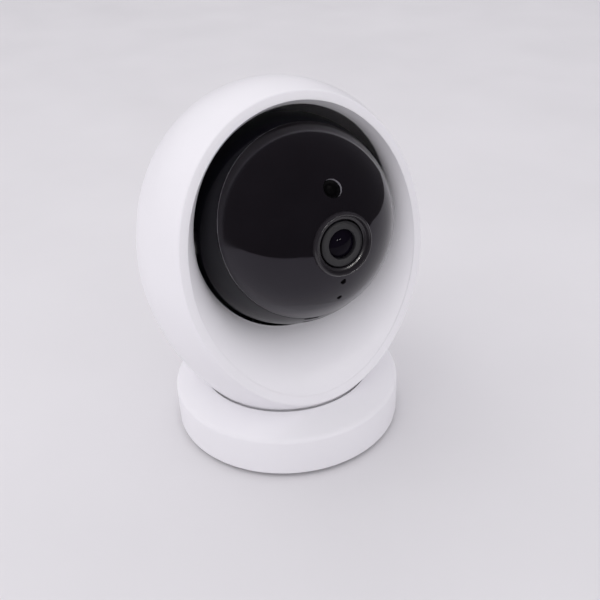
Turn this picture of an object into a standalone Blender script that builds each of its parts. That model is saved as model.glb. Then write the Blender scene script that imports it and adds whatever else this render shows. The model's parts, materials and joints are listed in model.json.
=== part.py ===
"""Pan and tilt baby monitor camera, built as an assembly of separate pieces.

A round base stands on a rubber pad. An egg-shaped body turns on it about the
vertical pan axis, and a ball that carries the lens tilts inside the body's
front opening. Lengths below are in millimetres and are scaled to metres where
meshes and locations are made. The front faces -Y, +Z is up, and the origin is
on the pan axis at the surface that the camera stands on.
"""

import math

import bmesh
import bpy
import numpy as np
from mathutils import Matrix, Vector

MM = 0.001
GAP = 0.3

# Base
BASE_RADIUS = 36.6
BASE_BOTTOM = 1.3
BASE_SHOULDER = 14.3
BASE_WALL = 2.1
DISH_RADIUS = 27.7
DISH_RIM = 18.0
DISH_FLOOR = 15.6
ROOF_OPENING = 25.5
BOSS_CIRCLE = 32.2
SPIGOT_RADIUS = 5.9
POCKET_WIDTH = 12.4
POCKET_LOW, POCKET_HIGH = 3.9, 11.5
POCKET_INNER = 29.3

# Body: an egg of revolution, cut by a rim plane that leans back
EGG_CENTRE = 60.0
EGG_RADIUS = 43.0
EGG_UP, EGG_UP_POWER = 51.07, 2.08
EGG_DOWN, EGG_DOWN_POWER = 56.6, 1.81
EGG_BOTTOM = 18.0
EGG_WALL = 2.3
RIM_LEAN = math.radians(11.8)
RIM_DISTANCE = 19.26
OPENING_CENTRE = (0.0, -10.45, 73.1)
OPENING_LEAN = math.radians(6.3)
OPENING_HALF_WIDTH = 31.5
OPENING_HALF_HEIGHT = 32.7
BEZEL_WALL = 1.5
BEZEL_GAP = 0.45
BEZEL_DEPTH = 2.2

# Ball: a spherical shell and a slightly tighter front dome that meets it on a circle
BALL_RADIUS = 31.0
BALL_WALL = 1.8
DOME_RADIUS = 29.33
DOME_WALL = 1.7
DOME_TILT = math.radians(18.3)
DOME_HALF_ANGLE = math.radians(68.7)
DOME_CENTRE = (0.0, -8.41, 72.58)
CREASE_RADIUS = DOME_RADIUS * math.sin(DOME_HALF_ANGLE)
CREASE_IN_DOME = DOME_RADIUS * math.cos(DOME_HALF_ANGLE)
CREASE_IN_BALL = math.sqrt(BALL_RADIUS**2 - CREASE_RADIUS**2)
BALL_SHIFT = CREASE_IN_BALL - CREASE_IN_DOME
TILT_AXIS = (
    0.0,
    DOME_CENTRE[1] + BALL_SHIFT * math.cos(DOME_TILT),
    DOME_CENTRE[2] - BALL_SHIFT * math.sin(DOME_TILT),
)
LENS_TILT = math.radians(8.4)
SENSOR_WINDOW_TILT = math.radians(37.5)
STATUS_TILT = math.radians(-14.0)
MICROPHONE_TILT = math.radians(-26.5)
CARD_SLOT_TILT = math.radians(-52.0)
RESET_TILT = math.radians(-64.0)

# Drives
GEAR_MODULE = 0.6
FIXED_TEETH = 42
PINION_TEETH = 14
GEAR_BACKLASH = 0.14
PINION_ORBIT = GEAR_MODULE * (FIXED_TEETH + PINION_TEETH) / 2
GEAR_LOW, GEAR_HIGH = 8.7, 12.7
TURNTABLE_TOP = 19.9
JOURNAL_RADIUS = 4.0
RUNNING_CLEARANCE = 0.06

# Facets around full turns
COARSE, MEDIUM, SMOOTH, FINE = 10, 24, 36, 48
# Points along the egg's half-section, on its two faces
OUTER_POINTS, INNER_POINTS = 18, 14


# ---------------------------------------------------------------- scene and finishes


def clear_scene():
    for obj in list(bpy.data.objects):
        bpy.data.objects.remove(obj, do_unlink=True)


def make_collection(name):
    collection = bpy.data.collections.new(name)
    bpy.context.scene.collection.children.link(collection)
    return collection


clear_scene()
PARTS = make_collection("baby_monitor_camera")
CUTTERS = make_collection("cutters")
CUTTERS.hide_render = True


def make_finish(name, colour, roughness, metallic=0.0):
    finish = bpy.data.materials.new(name)
    finish.use_nodes = True
    shader = finish.node_tree.nodes["Principled BSDF"]
    shader.inputs["Base Color"].default_value = (*colour, 1.0)
    shader.inputs["Roughness"].default_value = roughness
    shader.inputs["Metallic"].default_value = metallic
    finish.diffuse_color = (*colour, 1.0)
    return finish


WHITE = make_finish("white_satin_abs", (0.82, 0.82, 0.83), 0.38)
BLACK_GLOSS = make_finish("black_gloss_acrylic", (0.012, 0.011, 0.013), 0.06)
BLACK_SATIN = make_finish("black_satin_abs", (0.022, 0.021, 0.025), 0.28)
BLACK_MATTE = make_finish("black_matte_nylon", (0.03, 0.03, 0.032), 0.6)
LENS_GLASS = make_finish("coated_glass", (0.015, 0.01, 0.03), 0.02)
FILTER_GLASS = make_finish("filter_glass", (0.35, 0.5, 0.55), 0.05)
RUBBER = make_finish("grey_rubber", (0.2, 0.2, 0.2), 0.85)
STEEL = make_finish("bright_steel", (0.62, 0.62, 0.63), 0.3, 1.0)
IRON = make_finish("cast_iron", (0.12, 0.12, 0.12), 0.6, 1.0)
ACETAL = make_finish("natural_acetal", (0.85, 0.84, 0.78), 0.45)
BOARD = make_finish("green_circuit_board", (0.02, 0.16, 0.07), 0.4)
EMITTER = make_finish("led_epoxy", (0.25, 0.22, 0.3), 0.1)
FOAM = make_finish("black_foam", (0.02, 0.02, 0.02), 0.95)


# ---------------------------------------------------------------- frames


def make_frame(name, at, tilt, parent=None):
    """An empty whose +Z points to the front, raised by tilt above the horizontal."""
    frame = bpy.data.objects.new(name, None)
    frame.empty_display_size = 10 * MM
    frame.rotation_euler = (math.pi / 2 - tilt, 0.0, 0.0)
    frame.location = Vector(at) * MM
    if parent:
        frame.parent = parent
        frame.location -= parent.location
    PARTS.objects.link(frame)
    return frame


UPRIGHT = math.pi / 2
PAN_FRAME = make_frame("pan_axis", (0, 0, 0), UPRIGHT)
TILT_FRAME = make_frame("tilt_axis", TILT_AXIS, UPRIGHT, PAN_FRAME)
DOME_FRAME = make_frame("dome_centre", DOME_CENTRE, DOME_TILT, TILT_FRAME)
SHELL_FRAME = make_frame("shell_centre", TILT_AXIS, DOME_TILT, TILT_FRAME)
LENS_FRAME = make_frame("lens_axis", DOME_CENTRE, LENS_TILT, TILT_FRAME)
WINDOW_FRAME = make_frame("window_axis", DOME_CENTRE, SENSOR_WINDOW_TILT, TILT_FRAME)
STATUS_FRAME = make_frame("status_axis", DOME_CENTRE, STATUS_TILT, TILT_FRAME)
MICROPHONE_FRAME = make_frame("microphone_axis", DOME_CENTRE, MICROPHONE_TILT, TILT_FRAME)
CARD_FRAME = make_frame("card_axis", TILT_AXIS, CARD_SLOT_TILT, TILT_FRAME)
RESET_FRAME = make_frame("reset_axis", TILT_AXIS, RESET_TILT, TILT_FRAME)


# ---------------------------------------------------------------- modelling helpers


def place(name, mesh, finish, frame, at=(0, 0, 0), turn=(0, 0, 0)):
    """Link a mesh as a part, or as a hidden cutter where it has no finish."""
    obj = bpy.data.objects.new(name, mesh)
    obj.parent = frame
    obj.location = Vector(at) * MM
    obj.rotation_euler = turn
    if finish:
        mesh.materials.append(finish)
        PARTS.objects.link(obj)
    else:
        CUTTERS.objects.link(obj)
        obj.hide_render = True
        obj.display_type = "WIRE"
    return obj


def turned(name, section, finish, frame, at=(0, 0, 0), turn=(0, 0, 0), steps=MEDIUM):
    """Turn a section about local Z. A section that touches the axis stays open there."""
    mesh = bpy.data.meshes.new(name)
    points = [(r * MM, 0.0, z * MM) for r, z in section]
    edges = [(i, i + 1) for i in range(len(points) - 1)]
    if section[0][0] > 0 or section[-1][0] > 0:
        edges.append((len(points) - 1, 0))
    mesh.from_pydata(points, edges, [])
    obj = place(name, mesh, finish, frame, at, turn)
    screw = obj.modifiers.new("turn", "SCREW")
    screw.angle = 2 * math.pi
    screw.steps = steps
    screw.render_steps = steps
    screw.use_merge_vertices = True
    screw.merge_threshold = 0.00001
    screw.use_smooth_shade = False
    return obj


def disc(name, radius, low, high, finish, frame, at=(0, 0, 0), turn=(0, 0, 0), steps=MEDIUM):
    section = [(0, high), (radius, high), (radius, low), (0, low)]
    return turned(name, section, finish, frame, at, turn, steps)


def ring(name, inner, outer, low, high, finish, frame, at=(0, 0, 0), turn=(0, 0, 0), steps=MEDIUM):
    section = [(inner, high), (outer, high), (outer, low), (inner, low)]
    return turned(name, section, finish, frame, at, turn, steps)


def block(name, size, finish, frame, at=(0, 0, 0), turn=(0, 0, 0), bevel=0.0):
    mesh = bpy.data.meshes.new(name)
    bm = bmesh.new()
    bmesh.ops.create_cube(bm, size=1.0)
    bmesh.ops.scale(bm, vec=Vector(size) * MM, verts=bm.verts)
    bm.to_mesh(mesh)
    bm.free()
    obj = place(name, mesh, finish, frame, at, turn)
    if bevel:
        edge = obj.modifiers.new("edge", "BEVEL")
        edge.width = bevel * MM
        edge.segments = 2
    return obj


def plate(name, outline, thickness, finish, frame, at=(0, 0, 0), turn=(0, 0, 0)):
    """A flat outline in local XY, thickened about its own plane."""
    curve = bpy.data.curves.new(name, "CURVE")
    curve.dimensions = "2D"
    curve.fill_mode = "BOTH"
    curve.extrude = thickness * MM / 2
    spline = curve.splines.new("POLY")
    spline.points.add(len(outline) - 1)
    for point, (x, y) in zip(spline.points, outline):
        point.co = (x * MM, y * MM, 0.0, 1.0)
    spline.use_cyclic_u = True
    return place(name, mesh_of(curve), finish, frame, at, turn)


def mesh_of(curve):
    """The curve's own surface as a closed mesh."""
    guide = bpy.data.objects.new(curve.name, curve)
    bpy.context.scene.collection.objects.link(guide)
    graph = bpy.context.evaluated_depsgraph_get()
    mesh = bpy.data.meshes.new_from_object(guide.evaluated_get(graph))
    bpy.data.objects.remove(guide, do_unlink=True)
    bm = bmesh.new()
    bm.from_mesh(mesh)
    bmesh.ops.remove_doubles(bm, verts=bm.verts, dist=0.000001)
    bmesh.ops.recalc_face_normals(bm, faces=bm.faces)
    bm.to_mesh(mesh)
    bm.free()
    return mesh


def combine(obj, other, operation):
    step = obj.modifiers.new(other.name, "BOOLEAN")
    step.operation = operation
    step.object = other
    step.solver = "EXACT"


def cut(obj, *others):
    for other in others:
        combine(obj, other, "DIFFERENCE")


def join(obj, *others):
    for other in others:
        combine(obj, other, "UNION")


def arc(radius, start, stop, count):
    """Points (r, z) on a circle about the origin; the angle is measured from +Z."""
    angles = np.linspace(start, stop, count)
    return [(radius * math.sin(t), radius * math.cos(t)) for t in angles]


def round_about(count, start=0.0):
    return [start + 2 * math.pi * i / count for i in range(count)]


def blind_boss(name, outer, hole, low, hole_end, high, frame, at=(0, 0, 0), turn=(0, 0, 0)):
    """A boss with a screw hole from its low end up to hole_end, ready to be joined to a wall."""
    section = [(0, high), (outer, high), (outer, low), (hole, low), (hole, hole_end), (0, hole_end)]
    return turned(name, section, None, frame, at, turn, COARSE)


def screw_fastener(name, frame, at, turn=(0, 0, 0), head=2.0, shank=0.85, length=6.0, finish=STEEL):
    """A pan-head screw whose head sits at the origin and whose shank runs down -Z."""
    section = [(0, 1.0), (head * 0.7, 0.95), (head, 0.4), (head, 0)]
    section += [(shank, 0), (shank, -length), (0, -length)]
    return turned(name, section, finish, frame, at, turn, COARSE)


# ---------------------------------------------------------------- shape formulas


def egg_profile(offset=0.0, count=OUTER_POINTS):
    """The egg's half-section from its top to its bottom edge, moved inwards by offset."""
    fine = []
    for t in np.linspace(math.pi / 2, -math.pi / 2, 801):
        upper = t > 0
        power = EGG_UP_POWER if upper else EGG_DOWN_POWER
        rise = EGG_UP if upper else -EGG_DOWN
        r = EGG_RADIUS * max(math.cos(t), 0.0) ** (2 / power)
        fine.append((r, EGG_CENTRE + rise * abs(math.sin(t)) ** (2 / power)))
    fine[0] = (0.0, EGG_CENTRE + EGG_UP)
    line = np.array(fine)
    along = np.gradient(line, axis=0)
    along[0] = (1.0, 0.0)
    along /= np.linalg.norm(along, axis=1)[:, None]
    line += offset * np.column_stack([along[:, 1], -along[:, 0]])
    bottom = (float(np.interp(EGG_BOTTOM, line[::-1, 1], line[::-1, 0])), EGG_BOTTOM)
    line = np.vstack([line[line[:, 1] > EGG_BOTTOM], bottom])
    steps = np.linalg.norm(np.diff(line, axis=0), axis=1)
    travelled = np.concatenate([[0.0], np.cumsum(steps)])
    stops = np.linspace(0.0, travelled[-1], count)
    radii = np.interp(stops, travelled, line[:, 0])
    heights = np.interp(stops, travelled, line[:, 1])
    return list(zip(radii.tolist(), heights.tolist()))


def rim_point(angle, offset, depth):
    """A point of the egg, moved inwards by offset, on a plane this deep behind the rim plane."""
    normal = np.array([0.0, -math.cos(RIM_LEAN), math.sin(RIM_LEAN)])
    up = np.array([0.0, math.sin(RIM_LEAN), math.cos(RIM_LEAN)])
    centre = np.array([0.0, 0.0, EGG_CENTRE]) + (RIM_DISTANCE - depth) * normal
    way = math.cos(angle) * np.array([1.0, 0.0, 0.0]) + math.sin(angle) * up
    profile = np.array(egg_profile(offset, INNER_POINTS))[::-1]
    low, high = 0.0, 2 * EGG_UP
    for _ in range(40):
        middle = (low + high) / 2
        x, y, z = centre + middle * way
        if math.hypot(x, y) < np.interp(z, profile[:, 1], profile[:, 0], right=0.0):
            low = middle
        else:
            high = middle
    return centre + low * way


def opening_point(angle, margin=0.0):
    up = np.array([0.0, math.sin(OPENING_LEAN), math.cos(OPENING_LEAN)])
    across = (OPENING_HALF_WIDTH + margin) * math.cos(angle) * np.array([1.0, 0.0, 0.0])
    return np.array(OPENING_CENTRE) + across + (OPENING_HALF_HEIGHT + margin) * math.sin(angle) * up


def involute_gear(teeth, module, backlash, phase):
    """The outline of a spur gear with a tooth centred on the angle phase."""
    pitch = module * teeth / 2
    base = pitch * math.cos(math.radians(20))
    tip = pitch + 0.8 * module
    root = pitch - 1.1 * module
    half_tooth = math.pi / 2 / teeth - backlash / 4 / pitch
    at_pitch = math.tan(math.radians(20)) - math.radians(20)
    flank = []
    for radius in np.linspace(max(base, root), tip, 2):
        roll = math.sqrt(max((radius / base) ** 2 - 1, 0.0))
        flank.append((radius, half_tooth + at_pitch - (roll - math.atan(roll))))
    outline = []
    for centre in round_about(teeth, phase):
        left = [(root, half_tooth + at_pitch)] + flank if root < base else flank
        for radius, angle in left:
            outline.append((radius * math.cos(centre - angle), radius * math.sin(centre - angle)))
        for radius, angle in reversed(left):
            outline.append((radius * math.cos(centre + angle), radius * math.sin(centre + angle)))
    return outline


# ---------------------------------------------------------------- base


def build_base():
    disc("foot_pad", 33.2, 0.0, 1.9, RUBBER, None, steps=SMOOTH)

    cover = disc("base_bottom_cover", 34.1, 2.2, 4.0, WHITE, None, steps=SMOOTH)
    spigot = ring("spigot_form", 4.6, SPIGOT_RADIUS, 3.5, 11.5, None, None)
    join(cover, spigot)

    wall = BASE_RADIUS - BASE_WALL
    roof = DISH_FLOOR - 1.8
    section = [
        (DISH_RADIUS + 0.35, DISH_RIM),
        (31.4, 16.95),
        (34.9, 15.2),
        (36.2, 13.2),
        (BASE_RADIUS, 10.0),
        (BASE_RADIUS, BASE_BOTTOM + 0.5),
        (BASE_RADIUS - 0.5, BASE_BOTTOM),
        (wall, BASE_BOTTOM),
        (wall, 12.0),
        (33.0, roof),
        (ROOF_OPENING, roof),
        (ROOF_OPENING, DISH_FLOOR),
        (DISH_RADIUS, DISH_FLOOR),
        (DISH_RADIUS, DISH_RIM - 0.3),
    ]
    housing = turned("base_housing", section, WHITE, None, steps=FINE)
    pocket_middle = (POCKET_LOW + POCKET_HIGH) / 2
    pocket_height = POCKET_HIGH - POCKET_LOW
    sleeve = block(
        "pocket_sleeve_form",
        (POCKET_WIDTH + 2.6, 7.6, pocket_height + 1.0),
        None,
        None,
        (0, POCKET_INNER - 1.3 + 3.8, pocket_middle + 0.9),
    )
    join(housing, sleeve)
    for i, angle in enumerate(round_about(3, -math.pi / 2)):
        at = (BOSS_CIRCLE * math.cos(angle), BOSS_CIRCLE * math.sin(angle), 0)
        join(housing, blind_boss(f"boss_form_{i}", 2.6, 1.15, 4.3, 10.6, roof + 0.6, None, at))
        cut(cover, disc(f"cover_sink_{i}", 2.4, 1.0, 3.3, None, None, at, steps=COARSE))
        cut(cover, disc(f"cover_hole_{i}", 1.15, 3.0, 5.0, None, None, at, steps=COARSE))
        screw_fastener(f"base_screw_{i + 1}", None, (at[0], at[1], 3.05), (math.pi, 0, 0), 1.9, 0.85, 6.6)
    pocket = block(
        "pocket_cutter",
        (POCKET_WIDTH, 12.0, pocket_height),
        None,
        None,
        (0, POCKET_INNER + 6.0, pocket_middle),
        bevel=1.2,
    )
    mouth = block("socket_window", (9.8, 6.0, 4.0), None, None, (0, POCKET_INNER, pocket_middle))
    cut(housing, pocket, mouth)

    socket = block(
        "power_socket", (9.0, 7.2, 3.2), STEEL, None, (0, POCKET_INNER - 3.4, pocket_middle), bevel=0.9
    )
    socket_mouth = block(
        "socket_mouth", (7.9, 8.0, 2.1), None, None, (0, POCKET_INNER + 1.2, pocket_middle)
    )
    cut(socket, socket_mouth)
    block("inlet_board", (17.0, 8.6, 1.0), BOARD, None, (0, 23.3, pocket_middle - 2.4))

    weight = ring("base_weight", 14.4, 26.4, 4.3, 8.2, IRON, None, steps=SMOOTH)
    cut(weight, block("weight_notch", (19.6, 20.0, 8.0), None, None, (0, 22.0, 6.0)))

    ring("pan_glide_ring", 25.9, 27.3, DISH_FLOOR + GAP, DISH_FLOOR + 1.0, ACETAL, None, steps=SMOOTH)

    teeth = involute_gear(FIXED_TEETH, GEAR_MODULE, GEAR_BACKLASH, math.pi / 2)
    middle = (GEAR_LOW + GEAR_HIGH) / 2
    gear = plate("pan_fixed_gear", teeth, GEAR_HIGH - GEAR_LOW, ACETAL, None, (0, 0, middle))
    join(gear, disc("gear_hub_form", 9.6, 4.3 - middle, 1.0, None, None, (0, 0, middle)))
    bore = disc("gear_bore", SPIGOT_RADIUS + GAP, 0.0, 20.0, None, None)
    channel = block("lead_channel", (3.6, 9.0, 3.4), None, None, (0, 7.5, 5.9))
    cut(gear, bore, channel)
    cut(cover, channel)


# ---------------------------------------------------------------- turning body


def build_turntable():
    section = [
        (5.5, TURNTABLE_TOP),
        (22.7, TURNTABLE_TOP),
        (22.7, 17.7),
        (26.3, 17.7),
        (26.3, 16.9),
        (25.1, 16.9),
        (25.1, 13.0),
        (23.0, 13.0),
        (23.0, 17.5),
        (5.5, 17.5),
    ]
    turntable = turned("turntable", section, WHITE, PAN_FRAME, steps=SMOOTH)
    cut(turntable, disc("shaft_hole", 1.7, 10, 30, None, PAN_FRAME, (0, PINION_ORBIT, 0), steps=COARSE))
    ring("pan_retaining_ring", 22.9, 27.2, 11.0, 12.7, ACETAL, PAN_FRAME, steps=SMOOTH)
    return turntable


def build_shells():
    section = egg_profile() + egg_profile(EGG_WALL, INNER_POINTS)[::-1]
    shell = turned("rear_shell", section, WHITE, PAN_FRAME, steps=FINE)
    normal = Vector((0, -math.cos(RIM_LEAN), math.sin(RIM_LEAN)))
    middle = Vector((0, 0, EGG_CENTRE)) + normal * (RIM_DISTANCE + 30)
    front = block("rim_cutter", (120, 60, 150), None, PAN_FRAME, middle, (-RIM_LEAN, 0, 0))
    cut(shell, front)
    return shell


def build_bezel():
    """A loft between the egg's rim and the ball's opening, closed behind by its own back."""
    columns, rows = FINE, 6
    bm = bmesh.new()
    loops = []
    for angle in round_about(columns):
        front = rim_point(angle, EGG_WALL + BEZEL_GAP, 0.0)
        back = rim_point(angle, EGG_WALL + BEZEL_GAP, BEZEL_DEPTH)
        edge = opening_point(angle)
        behind = opening_point(angle, BEZEL_WALL) + np.array([0.0, 0.9, 0.0])
        shares = np.linspace(0, 1, rows)
        section = [front + (edge - front) * s for s in shares]
        section += [behind + (back - behind) * s for s in shares[::2]]
        section.append(back)
        loops.append([bm.verts.new(Vector(p) * MM) for p in section])
    for one, other in zip(loops, loops[1:] + loops[:1]):
        for i in range(len(one)):
            j = (i + 1) % len(one)
            bm.faces.new((one[i], one[j], other[j], other[i]))
    bmesh.ops.recalc_face_normals(bm, faces=bm.faces)
    mesh = bpy.data.meshes.new("front_bezel")
    bm.to_mesh(mesh)
    bm.free()
    return place("front_bezel", mesh, WHITE, PAN_FRAME)


def build_speaker(shell):
    """A driver behind a grille of round holes low in the back of the shell."""
    profile = np.array(egg_profile(0.0, 80))
    index = int(np.argmin(abs(profile[:, 1] - 38.0)))
    along = profile[index + 1] - profile[index - 1]
    slope = math.atan2(along[0], -along[1])
    outwards = Vector((0, math.cos(slope), math.sin(slope)))
    wall_point = Vector((0, profile[index][0], profile[index][1]))
    turn = (-math.pi / 2 + slope, 0, 0)
    face = wall_point - outwards * (EGG_WALL + 2.5)
    section = [(0, -0.9), (3, -0.5), (8.2, 0), (9.2, 0), (9.2, -1.6), (6.2, -3.6), (6.2, -5.2), (0, -5.2)]
    turned("speaker", section, BLACK_MATTE, PAN_FRAME, face, turn)
    ring("speaker_gasket", 8.0, 9.2, 0.3, 0.9, FOAM, PAN_FRAME, face, turn)
    circles = ((1, 0.0), (6, 2.6), (12, 5.2))
    for count, circle in circles:
        for i, angle in enumerate(round_about(count)):
            name = f"grille_hole_{count}_{i}"
            at = Vector((circle * math.cos(angle), circle * math.sin(angle), 0))
            at.rotate(Matrix.Rotation(turn[0], 3, "X"))
            cut(shell, disc(name, 0.7, -1, 8, None, PAN_FRAME, face + at, turn, steps=6))


def build_main_board(shell):
    block("main_board", (36.0, 1.2, 37.0), BOARD, PAN_FRAME, (0, 29.8, 63.5), bevel=0.3)
    shield = block("processor_shield_form", (15.0, 3.0, 15.0), None, PAN_FRAME, (3.5, 31.5, 66.0))
    join(bpy.data.objects["main_board"], shield)
    block("wifi_antenna", (27.0, 0.8, 5.0), BOARD, PAN_FRAME, (0, 27.2, 88.0), bevel=0.1)
    bottom = (0, EGG_BOTTOM)
    core = turned("shell_core", egg_profile(EGG_WALL / 2) + [bottom], None, PAN_FRAME, steps=FINE)
    for i, (x, z) in enumerate(((-13.5, 78.0), (13.5, 49.0))):
        turn = (-math.pi / 2, 0, 0)
        pillar = blind_boss(f"board_pillar_{i}", 2.3, 1.1, 30.8, 34.4, 44.0, PAN_FRAME, (x, 0, z), turn)
        combine(pillar, core, "INTERSECT")
        join(shell, pillar)
        hole = disc(f"board_hole_{i}", 1.2, 25.0, 33.0, None, PAN_FRAME, (x, 0, z), turn, COARSE)
        cut(bpy.data.objects["main_board"], hole)
        screw_fastener(
            f"board_screw_{i + 1}", PAN_FRAME, (x, 28.85, z), (math.pi / 2, 0, 0), 1.9, 0.8, 4.6
        )


def build_pan_drive(turntable):
    at = (0, PINION_ORBIT, 0)
    low = TURNTABLE_TOP + GAP
    can = [(2.0, low + 13), (8.0, low + 13), (8.0, low), (2.0, low)]
    motor = turned("pan_motor", can, STEEL, PAN_FRAME, at)
    ears = [(-13.2, -2.3), (13.2, -2.3), (13.2, 2.3), (-13.2, 2.3)]
    lug = plate("pan_motor_lug", ears, 0.9, None, PAN_FRAME, (0, PINION_ORBIT, low + 0.45))
    join(motor, lug)
    core = disc("pan_motor_core", 3.0, low + 3, low + 12.5, None, PAN_FRAME, at)
    join(motor, core)
    cut(motor, disc("pan_motor_bore", 1.5, low - 1, low + 3.5, None, PAN_FRAME, at, steps=COARSE))
    for i, x in enumerate((-11.2, 11.2)):
        spot = (x, PINION_ORBIT, 0)
        hole = disc(f"pan_screw_hole_{i}", 1.1, 16.0, 24.0, None, PAN_FRAME, spot, steps=COARSE)
        cut(motor, hole)
        cut(turntable, hole)
        screw_fastener(
            f"pan_motor_screw_{i + 1}", PAN_FRAME, (x, PINION_ORBIT, low + 1.2), (0, 0, 0), 1.8, 0.8, 3.9
        )
    disc("pan_motor_shaft", 1.0, GEAR_LOW, low + 2.6, STEEL, PAN_FRAME, at, steps=COARSE)
    phase = -math.pi / 2 + math.pi / PINION_TEETH
    teeth = involute_gear(PINION_TEETH, GEAR_MODULE, GEAR_BACKLASH, phase)
    middle = (GEAR_LOW + GEAR_HIGH) / 2
    thickness = GEAR_HIGH - GEAR_LOW - 0.2
    pinion = plate("pan_pinion", teeth, thickness, ACETAL, PAN_FRAME, (0, PINION_ORBIT, middle))
    cut(pinion, disc("pinion_bore", 1.3, 0, 20, None, PAN_FRAME, at, steps=COARSE))


def build_yoke():
    x_tilt, y_tilt, z_tilt = TILT_AXIS
    profile = [
        (36.4, 76.5),
        (36.4, 46.5),
        (21.6, TURNTABLE_TOP + GAP),
        (13.0, TURNTABLE_TOP + GAP),
        (13.0, 22.2),
        (20.4, 22.2),
        (34.4, 47.1),
        (34.4, 76.5),
    ]
    turntable = bpy.data.objects["turntable"]
    for side, sign in (("left", -1), ("right", 1)):
        outline = [(sign * x, z) for x, z in profile]
        bracket = plate(
            f"yoke_{side}", outline, 13.0, ACETAL, PAN_FRAME, (0, y_tilt, 0), (math.pi / 2, 0, 0)
        )
        seat = 4.35 if side == "left" else 5.3
        axis_turn = (0, sign * math.pi / 2, 0)
        cut(bracket, disc(f"{side}_seat", seat, 20, 50, None, PAN_FRAME, TILT_AXIS, axis_turn))
        spot = (sign * 16.2, y_tilt, 0)
        hole = disc(f"{side}_foot_hole", 1.1, 15.0, 30.0, None, PAN_FRAME, spot, steps=COARSE)
        cut(bracket, hole)
        cut(turntable, hole)
        screw_fastener(f"yoke_screw_{side}", PAN_FRAME, (spot[0], y_tilt, 22.5), (0, 0, 0), 1.8, 0.8, 4.6)

    left = (0, -math.pi / 2, 0)
    hub = [(0, 37.3), (5.2, 37.3), (5.2, 36.7), (JOURNAL_RADIUS, 36.7), (JOURNAL_RADIUS, 28.2)]
    hub += [(1.65, 28.2), (1.65, 35.0), (0, 35.0)]
    turned("tilt_hub", hub, ACETAL, PAN_FRAME, TILT_AXIS, left)
    disc("tilt_motor_shaft", 1.25, 22.2, 34.6, STEEL, PAN_FRAME, TILT_AXIS, left, COARSE)

    right = (0, math.pi / 2, 0)
    inner = JOURNAL_RADIUS + RUNNING_CLEARANCE
    bush = [(inner, 37.3), (5.8, 37.3), (5.8, 36.7), (5.0, 36.7), (5.0, 33.6), (inner, 33.6)]
    turned("tilt_bush_right", bush, ACETAL, PAN_FRAME, TILT_AXIS, right)


# ---------------------------------------------------------------- ball


def build_ball_shell():
    inner = BALL_RADIUS - BALL_WALL
    start = math.acos(CREASE_IN_BALL / BALL_RADIUS)
    inner_start = math.acos(CREASE_IN_BALL / inner)
    edge = 0.15
    section = arc(inner, math.pi, inner_start + edge / inner, 6)
    section += arc(BALL_RADIUS, start + edge / BALL_RADIUS, math.pi, 9)
    section[0] = (0, -inner)
    section[-1] = (0, -BALL_RADIUS)
    shell = turned("ball_shell", section, BLACK_SATIN, SHELL_FRAME, steps=FINE)
    left = (0, -math.pi / 2, 0)
    right = (0, math.pi / 2, 0)
    for i, z in enumerate((-13.2, 13.2)):
        at = (0, 7.0, z)
        join(shell, blind_boss(f"tilt_post_{i}", 2.2, 1.1, 22.0, 25.3, 26.4, TILT_FRAME, at, left))
    cut(shell, disc("left_bush_seat", 5.5, 20, 40, None, TILT_FRAME, (0, 0, 0), left))
    cut(shell, disc("right_axle_seat", 4.35, 20, 40, None, TILT_FRAME, (0, 0, 0), right))
    cut(shell, block("card_slot", (11.8, 1.6, 8.0), None, CARD_FRAME, (0, 0, 30.0), bevel=0.5))
    cut(shell, disc("reset_hole", 1.45, 26, 34, None, RESET_FRAME, steps=COARSE))
    return shell


def build_dome():
    inner = DOME_RADIUS - DOME_WALL
    outer_stop = DOME_HALF_ANGLE - 0.15 / DOME_RADIUS
    section = arc(DOME_RADIUS, 0, outer_stop, 7)
    section += arc(inner, math.acos(CREASE_IN_DOME / inner) - 0.15 / inner, 0, 5)
    section[0] = (0, DOME_RADIUS)
    section[-1] = (0, inner)
    dome = turned("front_dome", section, BLACK_GLOSS, DOME_FRAME, steps=FINE)
    for i, sign in enumerate((-1, 1)):
        at = (sign * 11.2, sign * 11.2, 0)
        join(dome, blind_boss(f"board_post_{i}", 1.8, 1.05, 12.6, 18.0, 23.4, LENS_FRAME, at))
    cut(dome, disc("lens_hole", 8.2, 20, 40, None, LENS_FRAME))
    cut(dome, disc("window_hole", 3.1, 24, 34, None, WINDOW_FRAME, steps=20))
    cut(dome, disc("status_hole", 0.9, 24, 34, None, STATUS_FRAME, steps=COARSE))
    cut(dome, disc("microphone_hole", 0.7, 24, 34, None, MICROPHONE_FRAME, steps=COARSE))
    return dome


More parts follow.
